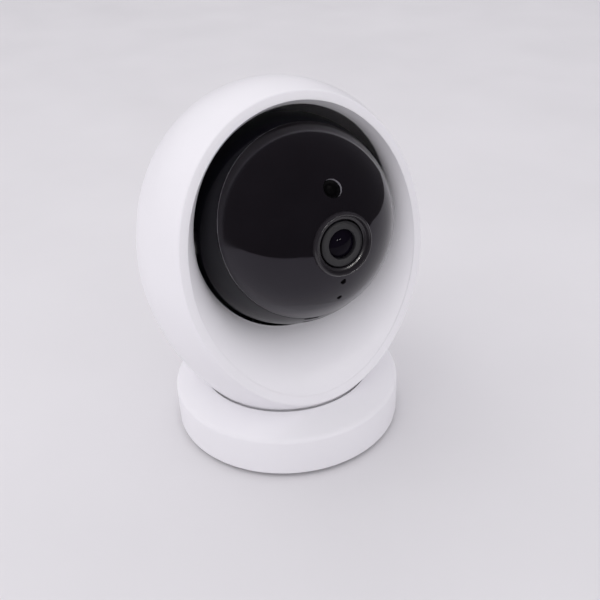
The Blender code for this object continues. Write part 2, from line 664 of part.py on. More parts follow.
def build_lens():
    bezel = [
        (6.6, 28.6),
        (7.0, 29.2),
        (8.1, 29.2),
        (8.5, 28.9),
        (8.5, 28.4),
        (7.85, 28.4),
        (7.85, 24.0),
        (6.6, 24.0),
    ]
    turned("lens_ring", bezel, BLACK_SATIN, LENS_FRAME)
    barrel = [
        (3.75, 27.9),
        (5.5, 28.5),
        (6.1, 28.2),
        (6.1, 16.3),
        (4.3, 16.3),
        (4.3, 22.0),
        (3.75, 22.0),
    ]
    turned("lens_barrel", barrel, BLACK_MATTE, LENS_FRAME)
    front = [(0, 27.7), (1.3, 27.6), (2.5, 27.25), (3.45, 26.7), (3.45, 24.6), (0, 24.6)]
    turned("lens_front_glass", front, LENS_GLASS, LENS_FRAME, steps=24)

    holder = block("lens_holder", (15, 15, 6.1), BLACK_MATTE, LENS_FRAME, (0, 0, 15.55), bevel=0.6)
    cut(holder, disc("barrel_thread", 6.4, 16.0, 20.0, None, LENS_FRAME))
    cut(holder, disc("light_path", 3.6, 13.0, 17.0, None, LENS_FRAME, steps=16))
    cut(holder, block("sensor_well", (9.6, 9.6, 3.0), None, LENS_FRAME, (0, 0, 12.4)))
    cut(holder, block("filter_slot", (30, 8.6, 1.5), None, LENS_FRAME, (0, 0, 15.05)))
    block("ir_cut_filter", (12.6, 8.0, 0.8), FILTER_GLASS, LENS_FRAME, (-2.1, 0, 15.05))

    board = block("sensor_board", (27, 27, 1.0), BOARD, LENS_FRAME, (0, 0, 11.7), bevel=0.3)
    join(board, block("image_sensor_form", (7.2, 6.0, 1.6), None, LENS_FRAME, (0, 0, 12.6)))
    for i, sign in enumerate((-1, 1)):
        at = (sign * 11.2, sign * 11.2, 0)
        cut(board, disc(f"sensor_hole_{i}", 1.2, 10, 14, None, LENS_FRAME, at, steps=COARSE))
        screw_fastener(
            f"sensor_screw_{i + 1}", LENS_FRAME, (at[0], at[1], 10.9), (math.pi, 0, 0), 1.8, 0.7, 5.6
        )


def build_night_light():
    board = ring("ir_led_board", 9.3, 13.2, 19.0, 20.0, BOARD, LENS_FRAME)
    cut(board, block("led_board_notch", (5.2, 8.0, 4.0), None, LENS_FRAME, (0, -12.0, 19.5)))
    lens = [(0, 22.6), (0.9, 22.3), (1.4, 21.5), (1.5, 21.1), (1.7, 21.1), (1.7, 20.3), (0, 20.3)]
    for i, degrees in enumerate((30, 150, 210, 330)):
        angle = math.radians(degrees)
        at = (11.25 * math.cos(angle), 11.25 * math.sin(angle), 0)
        turned(f"ir_led_{i + 1}", lens, EMITTER, LENS_FRAME, at, steps=COARSE)


def build_dome_fittings():
    window = [(0, 28.75), (1.5, 28.95), (2.8, 29.0), (2.8, 26.9), (0, 26.9)]
    turned("light_sensor_window", window, BLACK_GLOSS, WINDOW_FRAME, steps=20)
    disc("light_sensor", 1.7, 24.4, 26.5, EMITTER, WINDOW_FRAME, steps=COARSE)
    disc("status_light_pipe", 0.55, 21.6, 28.6, EMITTER, STATUS_FRAME, steps=COARSE)
    disc("microphone", 2.0, 23.4, 25.9, STEEL, MICROPHONE_FRAME, steps=16)


def build_card_and_reset():
    socket = block("card_socket", (13.6, 2.0, 13.5), STEEL, CARD_FRAME, (0, 0, 20.6), bevel=0.3)
    cut(socket, block("card_space", (11.4, 0.9, 14.0), None, CARD_FRAME, (0, 0, 22.5)))
    switch = block("reset_switch", (12.0, 5.4, 1.0), BOARD, RESET_FRAME, (0, 0, 22.9))
    join(switch, block("switch_form", (4.4, 3.2, 2.2), None, RESET_FRAME, (0, 0, 24.3)))
    join(switch, disc("switch_stud", 0.8, 25.0, 26.6, None, RESET_FRAME, steps=COARSE))
    section = [(0, 30.5), (0.8, 30.45), (1.15, 30.2), (1.15, 28.4), (1.9, 28.4), (1.9, 27.5), (0, 27.5)]
    turned("reset_button", section, BLACK_SATIN, RESET_FRAME, steps=16)


def build_tilt_drive():
    left = (0, -math.pi / 2, 0)
    at = (0, 7.0, 0)
    motor = disc("tilt_motor", 9.4, 7.5, 20.6, STEEL, TILT_FRAME, at, left)
    lug = [(-2.2, -15.4), (2.2, -15.4), (2.2, 15.4), (-2.2, 15.4)]
    ears = plate("tilt_motor_lug", lug, 0.9, None, TILT_FRAME, (-21.0, 7.0, 0), (math.pi / 2, 0, math.pi / 2))
    boss = disc("tilt_motor_boss", 3.2, 15.0, 23.4, None, TILT_FRAME, (0, 0, 0), left, 16)
    join(motor, ears, boss)
    cut(motor, disc("tilt_motor_bore", 1.6, 21.6, 30.0, None, TILT_FRAME, (0, 0, 0), left, COARSE))
    for i, z in enumerate((-13.2, 13.2)):
        spot = (0, 7.0, z)
        hole = disc(f"tilt_screw_hole_{i}", 1.1, 18.0, 23.0, None, TILT_FRAME, spot, left, COARSE)
        cut(motor, hole)
        screw_fastener(
            f"tilt_motor_screw_{i + 1}",
            TILT_FRAME,
            (-20.25, 7.0, z),
            (0, math.pi / 2, 0),
            1.8,
            0.8,
            3.2,
        )

    inner = JOURNAL_RADIUS + RUNNING_CLEARANCE
    bush = [(inner, 30.4), (5.2, 30.4), (5.2, 27.6), (6.2, 27.6), (6.2, 26.4), (inner, 26.4)]
    turned("tilt_bush_left", bush, ACETAL, TILT_FRAME, (0, 0, 0), left)
    axle = [(2.6, 36.2), (JOURNAL_RADIUS, 36.2), (JOURNAL_RADIUS, 27.6)]
    axle += [(6.2, 27.6), (6.2, 26.4), (2.6, 26.4)]
    turned("tilt_axle", axle, BLACK_SATIN, TILT_FRAME, (0, 0, 0), (0, math.pi / 2, 0))


build_base()
TURNTABLE = build_turntable()
REAR_SHELL = build_shells()
build_bezel()
build_speaker(REAR_SHELL)
build_main_board(REAR_SHELL)
build_pan_drive(TURNTABLE)
build_yoke()
build_ball_shell()
build_dome()
build_lens()
build_night_light()
build_dome_fittings()
build_card_and_reset()
build_tilt_drive()
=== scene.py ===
"""The look of the pan and tilt baby monitor camera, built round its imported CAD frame.

Smooth, finely divided pieces stand for the faceted CAD shells, each with its own
procedural material. Lengths in the tables are millimetres in the object's own
frame: the front faces -Y, +Z is up, and the origin is on the pan axis.
"""

import json
import math

import bmesh
import bpy
import numpy as np
from mathutils import Matrix, Vector


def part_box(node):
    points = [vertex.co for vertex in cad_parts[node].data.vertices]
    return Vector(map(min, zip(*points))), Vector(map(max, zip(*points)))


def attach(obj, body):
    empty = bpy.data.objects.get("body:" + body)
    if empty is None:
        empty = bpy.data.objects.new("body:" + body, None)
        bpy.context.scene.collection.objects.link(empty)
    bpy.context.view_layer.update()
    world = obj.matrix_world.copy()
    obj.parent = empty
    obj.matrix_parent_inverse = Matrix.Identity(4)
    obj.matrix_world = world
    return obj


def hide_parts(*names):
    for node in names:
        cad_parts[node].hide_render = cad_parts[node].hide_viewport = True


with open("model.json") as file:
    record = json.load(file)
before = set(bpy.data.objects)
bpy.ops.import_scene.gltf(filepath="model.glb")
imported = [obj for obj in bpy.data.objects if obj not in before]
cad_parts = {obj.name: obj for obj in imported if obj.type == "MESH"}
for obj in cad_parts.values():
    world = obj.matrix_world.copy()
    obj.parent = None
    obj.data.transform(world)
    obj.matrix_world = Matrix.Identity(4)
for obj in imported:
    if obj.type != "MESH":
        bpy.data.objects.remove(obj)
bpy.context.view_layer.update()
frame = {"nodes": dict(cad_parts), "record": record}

MM = 0.001

EGG_CENTRE = np.array([0.0, 0.0, 60.0])
EGG_RADIUS = 43.0
EGG_UP, EGG_UP_POWER = 51.07, 2.08
EGG_DOWN, EGG_DOWN_POWER = 56.6, 1.81
EGG_WALL = 2.3
RIM_LEAN = math.radians(11.8)
RIM_NORMAL = np.array([0.0, -math.cos(RIM_LEAN), math.sin(RIM_LEAN)])
RIM_UP = np.array([0.0, math.sin(RIM_LEAN), math.cos(RIM_LEAN)])
RIM_DISTANCE = 19.26
OPENING_CENTRE = np.array([0.0, -10.45, 73.25])
OPENING_LEAN = math.radians(6.3)
OPENING_HALF = (31.4, 32.6)

BALL_RADIUS = 31.0
DOME_RADIUS = 29.33
DOME_TILT = math.radians(18.3)
DOME_HALF_ANGLE = math.radians(68.7)
DOME_CENTRE = (0.0, -8.41, 72.58)
CREASE_RADIUS = DOME_RADIUS * math.sin(DOME_HALF_ANGLE)
CREASE_IN_DOME = DOME_RADIUS * math.cos(DOME_HALF_ANGLE)
CREASE_IN_BALL = math.sqrt(BALL_RADIUS**2 - CREASE_RADIUS**2)
BALL_SHIFT = CREASE_IN_BALL - CREASE_IN_DOME
TILT_AXIS = (
    0.0,
    DOME_CENTRE[1] + BALL_SHIFT * math.cos(DOME_TILT),
    DOME_CENTRE[2] - BALL_SHIFT * math.sin(DOME_TILT),
)


# ---------------------------------------------------------------- materials


# Almost all of a noise texture's values lie between these two
NOISE_LOW, NOISE_HIGH = 0.3, 0.7
RELIEF_DEPTH = 0.0002


def shader_node(tree, kind, **values):
    node = tree.nodes.new(kind)
    for name, value in values.items():
        node.inputs[name].default_value = value
    return node


def finish(
    name,
    colour,
    roughness,
    grain=(900.0, 0.03),
    mottle=(60.0, 0.03),
    rough_spread=0.05,
    metallic=0.0,
    **inputs,
):
    """A plastic, glass, rubber or metal whose colour, roughness and fine relief vary a little.

    grain is the relief's scale and strength; mottle is the colour's scale and share. Other
    inputs are the shader's own, with _ for each space in the name.
    """
    material = bpy.data.materials.new(name)
    material.use_nodes = True
    tree = material.node_tree
    shader = tree.nodes["Principled BSDF"]
    shader.inputs["Metallic"].default_value = metallic
    for key, value in inputs.items():
        shader.inputs[key.replace("_", " ")].default_value = value
    where = tree.nodes.new("ShaderNodeTexCoord")

    patches = shader_node(tree, "ShaderNodeTexNoise", Scale=mottle[0], Detail=4.0)
    tree.links.new(where.outputs["Object"], patches.inputs["Vector"])
    ramp = tree.nodes.new("ShaderNodeValToRGB")
    for element, share in zip(ramp.color_ramp.elements, (1 - mottle[1], 1 + mottle[1])):
        element.color = (*(min(1.0, c * share) for c in colour), 1.0)
    ramp.color_ramp.elements[0].position = NOISE_LOW
    ramp.color_ramp.elements[1].position = NOISE_HIGH
    tree.links.new(patches.outputs["Fac"], ramp.inputs["Fac"])
    tree.links.new(ramp.outputs["Color"], shader.inputs["Base Color"])

    smears = shader_node(tree, "ShaderNodeTexNoise", Scale=mottle[0] * 2.3, Detail=6.0)
    tree.links.new(where.outputs["Object"], smears.inputs["Vector"])
    limits = {
        "From Min": NOISE_LOW,
        "From Max": NOISE_HIGH,
        "To Min": max(0.0, roughness - rough_spread),
        "To Max": roughness + rough_spread,
    }
    spread = shader_node(tree, "ShaderNodeMapRange", **limits)
    tree.links.new(smears.outputs["Fac"], spread.inputs["Value"])
    tree.links.new(spread.outputs["Result"], shader.inputs["Roughness"])

    relief = shader_node(tree, "ShaderNodeTexNoise", Scale=grain[0], Detail=3.0)
    tree.links.new(where.outputs["Object"], relief.inputs["Vector"])
    bump = shader_node(tree, "ShaderNodeBump", Strength=grain[1], Distance=RELIEF_DEPTH)
    tree.links.new(relief.outputs["Fac"], bump.inputs["Height"])
    tree.links.new(bump.outputs["Normal"], shader.inputs["Normal"])
    return material


WHITE = finish("white_satin_abs", (0.845, 0.835, 0.86), 0.42, (1400.0, 0.06), (35.0, 0.012), 0.04)
GLOSS = finish(
    "black_gloss_acrylic",
    (0.005, 0.004, 0.005),
    0.07,
    (300.0, 0.004),
    (90.0, 0.15),
    0.02,
    Specular_Tint=(0.9, 0.86, 1.0, 1.0),
    Specular_IOR_Level=0.43,
)
SATIN = finish(
    "black_satin_abs",
    (0.004, 0.0038, 0.006),
    0.17,
    (1600.0, 0.02),
    (90.0, 0.12),
    0.04,
    Specular_IOR_Level=0.24,
)
RING = finish("black_ring_abs", (0.019, 0.017, 0.02), 0.2, (1800.0, 0.03), (200.0, 0.12), 0.04)
MATTE = finish("black_matte_nylon", (0.014, 0.0135, 0.016), 0.45, (2500.0, 0.1), (200.0, 0.1), 0.06)
GLASS = finish(
    "coated_glass",
    (0.004, 0.003, 0.006),
    0.02,
    (200.0, 0.0),
    (400.0, 0.2),
    0.01,
    Specular_IOR_Level=0.06,
)
RUBBER = finish("grey_rubber", (0.13, 0.13, 0.13), 0.8, (2200.0, 0.3), (150.0, 0.12), 0.08)
STEEL = finish(
    "bright_steel", (0.62, 0.62, 0.63), 0.28, (1200.0, 0.08), (250.0, 0.08), 0.08, metallic=1.0
)
IRON = finish("cast_iron", (0.1, 0.1, 0.1), 0.6, (700.0, 0.5), (120.0, 0.2), 0.1, metallic=0.8)
# Painted highlight: a lighter grey standing in for the specular line along the dome's edge and the glints
# in the sensor window's hole
PAINTED_HIGHLIGHT = finish("dome_edge_painted_highlight", (0.32, 0.31, 0.34), 0.3, (900.0, 0.02), (160.0, 0.35), 0.1)
RECESS = finish(
    "black_recess",
    (0.002, 0.0018, 0.0022),
    0.5,
    (900.0, 0.02),
    (160.0, 0.2),
    0.1,
    Specular_IOR_Level=0.15,
)
ACETAL = finish("natural_acetal", (0.82, 0.81, 0.78), 0.4, (1200.0, 0.08), (80.0, 0.03), 0.06)
DARK_ACETAL = finish("black_acetal", (0.02, 0.02, 0.022), 0.4, (1200.0, 0.08), (80.0, 0.1), 0.06)
BOARD = finish("green_circuit_board", (0.02, 0.15, 0.06), 0.35, (1500.0, 0.15), (500.0, 0.25), 0.08)
EMITTER = finish("led_epoxy", (0.2, 0.18, 0.24), 0.12, (600.0, 0.02), (300.0, 0.1), 0.04)
FOAM = finish("black_foam", (0.02, 0.02, 0.02), 0.95, (2600.0, 0.6), (900.0, 0.3), 0.04)
FILTER = finish("filter_glass", (0.3, 0.45, 0.5), 0.05, (300.0, 0.0), (300.0, 0.05), 0.02)

SLOTS = {
    "white_abs": WHITE,
    "black_gloss": GLOSS,
    "black_satin": SATIN,
    "black_matte": MATTE,
    "coated_glass": GLASS,
    "filter_glass": FILTER,
    "grey_rubber": RUBBER,
    "steel": STEEL,
    "iron": IRON,
    "acetal": ACETAL,
    "circuit_board": BOARD,
    "led_epoxy": EMITTER,
    "foam": FOAM,
}


def dull_towards_edge(material, extra, near, far):
    """Adds up to extra roughness as the height along the dome's axis falls from far to near."""
    tree = material.node_tree
    shader = tree.nodes["Principled BSDF"]
    before = shader.inputs["Roughness"].links[0].from_socket
    axis = Vector((0.0, -math.cos(DOME_TILT), math.sin(DOME_TILT)))
    where = tree.nodes.new("ShaderNodeTexCoord")
    height = tree.nodes.new("ShaderNodeVectorMath")
    height.operation = "DOT_PRODUCT"
    height.inputs[1].default_value = axis
    tree.links.new(where.outputs["Object"], height.inputs[0])
    level = axis.dot(Vector(DOME_CENTRE)) * MM
    limits = {
        "From Min": level + near * MM,
        "From Max": level + far * MM,
        "To Min": extra,
        "To Max": 0.0,
    }
    fade = shader_node(tree, "ShaderNodeMapRange", **limits)
    tree.links.new(height.outputs["Value"], fade.inputs["Value"])
    total = tree.nodes.new("ShaderNodeMath")
    tree.links.new(before, total.inputs[0])
    tree.links.new(fade.outputs["Result"], total.inputs[1])
    tree.links.new(total.outputs["Value"], shader.inputs["Roughness"])


dull_towards_edge(GLOSS, 0.2, CREASE_IN_DOME, CREASE_IN_DOME + 7.0)

for entry in frame["record"]["subparts"]:
    node = frame["nodes"][entry["node"]]
    node.data.materials.clear()
    node.data.materials.append(SLOTS[entry["material_slot"]])
for side in ("left", "right"):
    frame["nodes"]["tilt_bush_" + side].data.materials[0] = DARK_ACETAL
frame["nodes"]["status_light_pipe"].data.materials[0] = RING


# ---------------------------------------------------------------- mesh helpers


def lens_frame(origin, tilt):
    """Placement in metres whose +Z points to the front, raised by tilt. The origin is in mm."""
    return Matrix.Translation(Vector(origin) * MM) @ Matrix.Rotation(math.pi / 2 - tilt, 4, "X")


def sideways(sign):
    """Placement on the tilt axis whose +Z points to +X or, with sign -1, to -X."""
    return Matrix.Translation(Vector(TILT_AXIS) * MM) @ Matrix.Rotation(sign * math.pi / 2, 4, "Y")


SHARP = 32.0
MERGE_WITHIN = 0.0000005
ON_AXIS = 1e-9

UPRIGHT = Matrix.Identity(4)
DOME = lens_frame(DOME_CENTRE, DOME_TILT)
SHELL = lens_frame(TILT_AXIS, DOME_TILT)
LENS = lens_frame(DOME_CENTRE, math.radians(7.9))
WINDOW = lens_frame(DOME_CENTRE, math.radians(37.5))
STATUS = lens_frame(DOME_CENTRE, math.radians(-14.0))
MICROPHONE = lens_frame(DOME_CENTRE, math.radians(-26.5))
CARD = lens_frame(TILT_AXIS, math.radians(-52.0))
SEAM = lens_frame(TILT_AXIS, math.radians(-44.3))
RESET = lens_frame(TILT_AXIS, math.radians(-64.0))


def arc(radius, start, stop, count):
    """Points (r, z) of a circle, by the angle down from its top."""
    angles = np.linspace(start, stop, count)
    return [(radius * math.sin(t), radius * math.cos(t)) for t in angles]


def rounded(corners, closed=True, segments=5):
    """A path through corners (x, y) or (x, y, radius), with each given radius rounded off."""
    path = []
    count = len(corners)
    for i, corner in enumerate(corners):
        here = np.array(corner[:2], float)
        radius = corner[2] if len(corner) > 2 else 0.0
        if not radius or (not closed and i in (0, count - 1)):
            path.append(tuple(here))
            continue
        before = np.array(corners[i - 1][:2], float) - here
        after = np.array(corners[(i + 1) % count][:2], float) - here
        before /= np.linalg.norm(before)
        after /= np.linalg.norm(after)
        half = math.acos(float(np.clip(before @ after, -1, 1))) / 2
        reach = radius / math.tan(half)
        inwards = (before + after) / np.linalg.norm(before + after)
        centre = here + inwards * radius / math.sin(half)
        first = here + before * reach - centre
        last = here + after * reach - centre
        for share in np.linspace(0, 1, segments + 1):
            way = first * (1 - share) + last * share
            path.append(tuple(centre + way / np.linalg.norm(way) * radius))
    return path


def piece(name, points, faces, material, matrix=UPRIGHT, sharp=SHARP):
    """An object from points in millimetres, shaded smooth except across sharp edges."""
    mesh = bpy.data.meshes.new(name)
    mesh.from_pydata([tuple(p) for p in np.asarray(points, float) * MM], [], faces)
    mesh.transform(matrix)
    mesh.validate()
    obj = bpy.data.objects.new(name, mesh)
    bpy.context.scene.collection.objects.link(obj)
    mesh.materials.append(material)
    shade(obj, sharp)
    return obj


def shade(obj, sharp):
    """Turns faces outwards and shades them smooth but for edges over sharp degrees."""
    bm = bmesh.new()
    bm.from_mesh(obj.data)
    bmesh.ops.remove_doubles(bm, verts=bm.verts, dist=MERGE_WITHIN)
    bmesh.ops.recalc_face_normals(bm, faces=bm.faces)
    for face in bm.faces:
        face.smooth = True
    limit = math.radians(sharp)
    for edge in bm.edges:
        edge.smooth = not (len(edge.link_faces) == 2 and edge.calc_face_angle() > limit)
    bm.to_mesh(obj.data)
    bm.free()


def lathe(name, section, material, matrix=UPRIGHT, steps=128, sharp=SHARP):
    """A section (r, z) turned about Z. Where it doesn't start and end on the axis, it closes on itself."""
    turn = np.linspace(0, 2 * math.pi, steps, endpoint=False)
    points, rings = [], []
    for r, z in section:
        start = len(points)
        if r < ON_AXIS:
            points.append((0.0, 0.0, z))
            rings.append([start] * steps)
            continue
        points += [(r * math.cos(angle), r * math.sin(angle), z) for angle in turn]
        rings.append(list(range(start, start + steps)))
    if section[0][0] > ON_AXIS or section[-1][0] > ON_AXIS:
        rings.append(rings[0])
    return piece(name, points, bridge(rings), material, matrix, sharp)


def bridge(rings):
    """Faces between rings of point indices that all have one length and close on themselves."""
    faces = []
    for upper, lower in zip(rings, rings[1:]):
        for i in range(len(upper)):
            j = (i + 1) % len(upper)
            corners = []
            for index in (upper[i], upper[j], lower[j], lower[i]):
                if index not in corners:
                    corners.append(index)
            if len(corners) > 2:
                faces.append(corners)
    return faces


def loft(name, loops, material, matrix=UPRIGHT, sharp=SHARP, closed=False):
    """Loops of equal length, bridged in order; a loop of one point is a pole."""
    width = max(len(loop) for loop in loops)
    points, rings = [], []
    for loop in loops:
        start = len(points)
        points.extend(loop)
        rings.append([start] * width if len(loop) == 1 else list(range(start, start + width)))
    if closed:
        rings.append(rings[0])
    return piece(name, points, bridge(rings), material, matrix, sharp)


def rounded_box(name, size, radius, matrix, along="Z", segments=6):
    """A box with its four edges along one axis rounded."""
    x, y = size[0] / 2, size[1] / 2
    corners = [(-x, -y, radius), (x, -y, radius), (x, y, radius), (-x, y, radius)]
    outline = rounded(corners, segments=segments)
    half = size[2] / 2
    loops = [[(0.0, 0.0, -half)]]
    loops += [[(px, py, z) for px, py in outline] for z in (-half, half)]
    loops.append([(0.0, 0.0, half)])
    turn = {"Z": UPRIGHT, "Y": Matrix.Rotation(math.pi / 2, 4, "X")}[along]
    return loft(name, loops, WHITE, matrix @ turn)


def carve(obj, cutters, sharp=SHARP, inside=None):
    """Cuts the shapes out of obj and removes them. The cut faces take the material inside."""
    joined = bmesh.new()
    for cutter in cutters:
        joined.from_mesh(cutter.data)
        bpy.data.objects.remove(cutter, do_unlink=True)
    mesh = bpy.data.meshes.new("cut")
    joined.to_mesh(mesh)
    joined.free()
    mesh.materials.append(inside or obj.data.materials[0])
    tool = bpy.data.objects.new("cut", mesh)
    bpy.context.scene.collection.objects.link(tool)
    step = obj.modifiers.new("cut", "BOOLEAN")
    step.operation = "DIFFERENCE"
    step.object = tool
    step.solver = "EXACT"
    step.material_mode = "TRANSFER"
    graph = bpy.context.evaluated_depsgraph_get()
    made = bpy.data.meshes.new_from_object(obj.evaluated_get(graph))
    obj.modifiers.clear()
    made.name = obj.name
    obj.data = made
    bpy.data.objects.remove(tool, do_unlink=True)
    shade(obj, sharp)


def settle(obj, body, slot, *nodes):
    """Rides the piece on its body in place of the CAD nodes that it stands for."""
    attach(obj, body)
    if nodes:
        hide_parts(*nodes)


# ---------------------------------------------------------------- base


INLET_OPENING, INLET_CORNER = (12.4, 7.6), 1.6
SLEEVE_OUTSIDE, SLEEVE_CORNER = (14.6, 9.0), 2.0
INLET_SHARP = 40.0


def build_housing(inlet_box):
    """The round puck, whose lip leans up to the turning gap, with the inlet's pocket behind."""
    section = [
        (27.15, 15.6),
        (27.15, 18.2, 0.3),
        (36.6, 14.05, 1.9),
        (36.6, 1.3, 0.55),
        (34.5, 1.3, 0.2),
        (34.5, 12.2, 0.8),
        (33.0, 13.8),
        (25.5, 13.8, 0.2),
        (25.5, 15.6, 0.2),
    ]
    housing = lathe("base_shell", rounded(section, segments=10), WHITE, steps=224)
    carve(housing, [inlet_box("pocket", INLET_OPENING, 12.2, INLET_CORNER, 35.4)], INLET_SHARP)
    settle(housing, "base", "white_abs", "base_housing")


def build_inlet(inlet_box):
    """The pocket's end wall and sides, and the socket with its tongue."""
    wall = inlet_box("inlet_wall", SLEEVE_OUTSIDE, 1.2, SLEEVE_CORNER, 28.9)
    carve(wall, [inlet_box("window", (9.6, 3.9), 4.0, 1.9, 29.0)], INLET_SHARP)
    settle(wall, "base", "white_abs")

    sleeve = inlet_box("inlet_sleeve", SLEEVE_OUTSIDE, 5.6, SLEEVE_CORNER, 32.2)
    carve(sleeve, [inlet_box("hollow", INLET_OPENING, 9.0, INLET_CORNER, 32.2)], INLET_SHARP)
    settle(sleeve, "base", "white_abs")

    socket = inlet_box("socket_shell", (9.0, 3.2), 7.0, 1.59, 25.9, 12)
    carve(socket, [inlet_box("mouth", (8.3, 2.5), 6.0, 1.24, 27.4, 12)], INLET_SHARP)
    socket.data.materials[0] = STEEL
    settle(socket, "base", "steel", "power_socket")

    tongue = inlet_box("socket_tongue", (6.6, 0.7), 4.4, 0.25, 26.6, 6)
    tongue.data.materials[0] = MATTE
    settle(tongue, "base", "black_matte")


def build_base():
    low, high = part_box("power_socket")
    middle = (low.z + high.z) / 2 / MM

    def inlet_box(name, opening, length, corner, behind, segments=10):
        """A rounded box along Y at the socket's height, its centre this far behind the axis."""
        place = Matrix.Translation(Vector((0.0, behind, middle)) * MM)
        return rounded_box(name, (*opening, length), corner, place, "Y", segments)

    build_housing(inlet_box)
    build_inlet(inlet_box)
    section = [(0, 1.9), (33.2, 1.9, 0.3), (33.2, 0.0, 0.4), (0, 0.0)]
    pad = lathe("foot_rubber", rounded(section, closed=False), RUBBER, steps=160)
    settle(pad, "base", "grey_rubber", "foot_pad")


# ---------------------------------------------------------------- egg-shaped body


RIGHT = np.array([1.0, 0.0, 0.0])
TURN = np.linspace(0, 2 * math.pi, 256, endpoint=False)
EGG_SAMPLES = 4001
HALVINGS = 44
RIM_ROUNDING = 0.45
CRISP = 0.06
SHELL_FLOOR = 18.3
GRILLE_HEIGHT = 38.0
GRILLE_RINGS = ((1, 0.0), (6, 2.6), (12, 5.2))
GRILLE_HOLE = [(0, 4), (0.7, 4), (0.7, -5), (0, -5)]

BEZEL_PLAY = 0.02
BEZEL_RECESS = 0.01
BEZEL_SKIRT = 2.2
LIP_THICKNESS, LIP_DEPTH, LIP_ROUNDING = 1.5, 0.9, 0.4


def egg_line(offset):
    """The egg's half-section moved inwards by offset, as angles above the middle and radii from it."""
    t = np.linspace(math.pi / 2, -math.pi / 2, EGG_SAMPLES)
    power = np.where(t > 0, EGG_UP_POWER, EGG_DOWN_POWER)
    rise = np.where(t > 0, EGG_UP, -EGG_DOWN)
    r = EGG_RADIUS * np.clip(np.cos(t), 0, 1) ** (2 / power)
    z = rise * np.abs(np.sin(t)) ** (2 / power)
    line = np.column_stack([r, z])
    along = np.gradient(line, axis=0)
    along[0] = (1.0, 0.0)
    along /= np.linalg.norm(along, axis=1)[:, None]
    line = line + offset * np.column_stack([along[:, 1], -along[:, 0]])
    angles = np.arctan2(line[:, 1], line[:, 0])
    order = np.argsort(angles)
    return angles[order], np.linalg.norm(line, axis=1)[order]


def egg_reach(ways, offset_line):
    """How far the egg lies from its middle in each of the unit directions."""
    angles, radii = offset_line
    heights = np.arctan2(ways[:, 2], np.linalg.norm(ways[:, :2], axis=1))
    return np.interp(heights, angles, radii)


def rim_loop(turn, offset_line, depth):
    """Points of the egg on a plane this deep behind the rim plane."""
    centre = (RIM_DISTANCE - depth) * RIM_NORMAL
    ways = np.cos(turn)[:, None] * RIGHT + np.sin(turn)[:, None] * RIM_UP
    low = np.zeros(len(turn))
    high = np.full(len(turn), 2 * EGG_UP)
    for _ in range(HALVINGS):
        middle = (low + high) / 2
        points = centre + middle[:, None] * ways
        size = np.linalg.norm(points, axis=1)
        inside = size < egg_reach(points / size[:, None], offset_line)
        low = np.where(inside, middle, low)
        high = np.where(inside, high, middle)
    return EGG_CENTRE + centre + low[:, None] * ways


def surface_rows(rim, offset_line, shares):
    """Loops on the egg between its back pole (share 0) and a rim loop (share 1)."""
    ways = rim - EGG_CENTRE
    ways /= np.linalg.norm(ways, axis=1)[:, None]
    pole = -RIM_NORMAL
    whole = np.arccos(np.clip(ways @ pole, -1, 1))
    loops = []
    for share in shares:
        part = np.broadcast_to(share, whole.shape) * whole
        blend = (
            np.sin(whole - part)[:, None] * pole + np.sin(part)[:, None] * ways
        ) / np.sin(whole)[:, None]
        loops.append(EGG_CENTRE + blend * egg_reach(blend, offset_line)[:, None])
    return loops, whole


def bend(first, corner, last, count=4):
    """Loops along a soft curve from first to last that heads for corner."""
    loops = []
    for s in np.linspace(0, 1, count + 2)[1:-1]:
        loops.append((1 - s) ** 2 * first + 2 * s * (1 - s) * corner + s**2 * last)
    return loops


def unit(vectors):
    """Each row scaled to a length of 1."""
    return vectors / np.linalg.norm(vectors, axis=1)[:, None]


def grille_cutters(outer):
    """Drills for the rings of speaker holes, square to the egg low on its back."""
    angles, radii = outer
    heights = radii * np.sin(angles)
    middle = int(np.argmin(abs(heights - (GRILLE_HEIGHT - EGG_CENTRE[2]))))
    a_little_up = middle + 30
    (here_r, here_z), (ahead_r, ahead_z) = (
        (radii[i] * math.cos(angles[i]), radii[i] * math.sin(angles[i]))
        for i in (middle, a_little_up)
    )
    slope = math.atan2(here_r - ahead_r, ahead_z - here_z)
    at = Vector((0.0, here_r, here_z + EGG_CENTRE[2])) * MM
    grille = Matrix.Translation(at) @ Matrix.Rotation(-math.pi / 2 + slope, 4, "X")
    cutters = []
    for count, circle in GRILLE_RINGS:
        for i in range(count):
            angle = 2 * math.pi * i / count
            spot = Vector((circle * math.cos(angle), circle * math.sin(angle), 0)) * MM
            place = grille @ Matrix.Translation(spot)
            cutters.append(lathe("hole", GRILLE_HOLE, WHITE, place, steps=20))
    return cutters


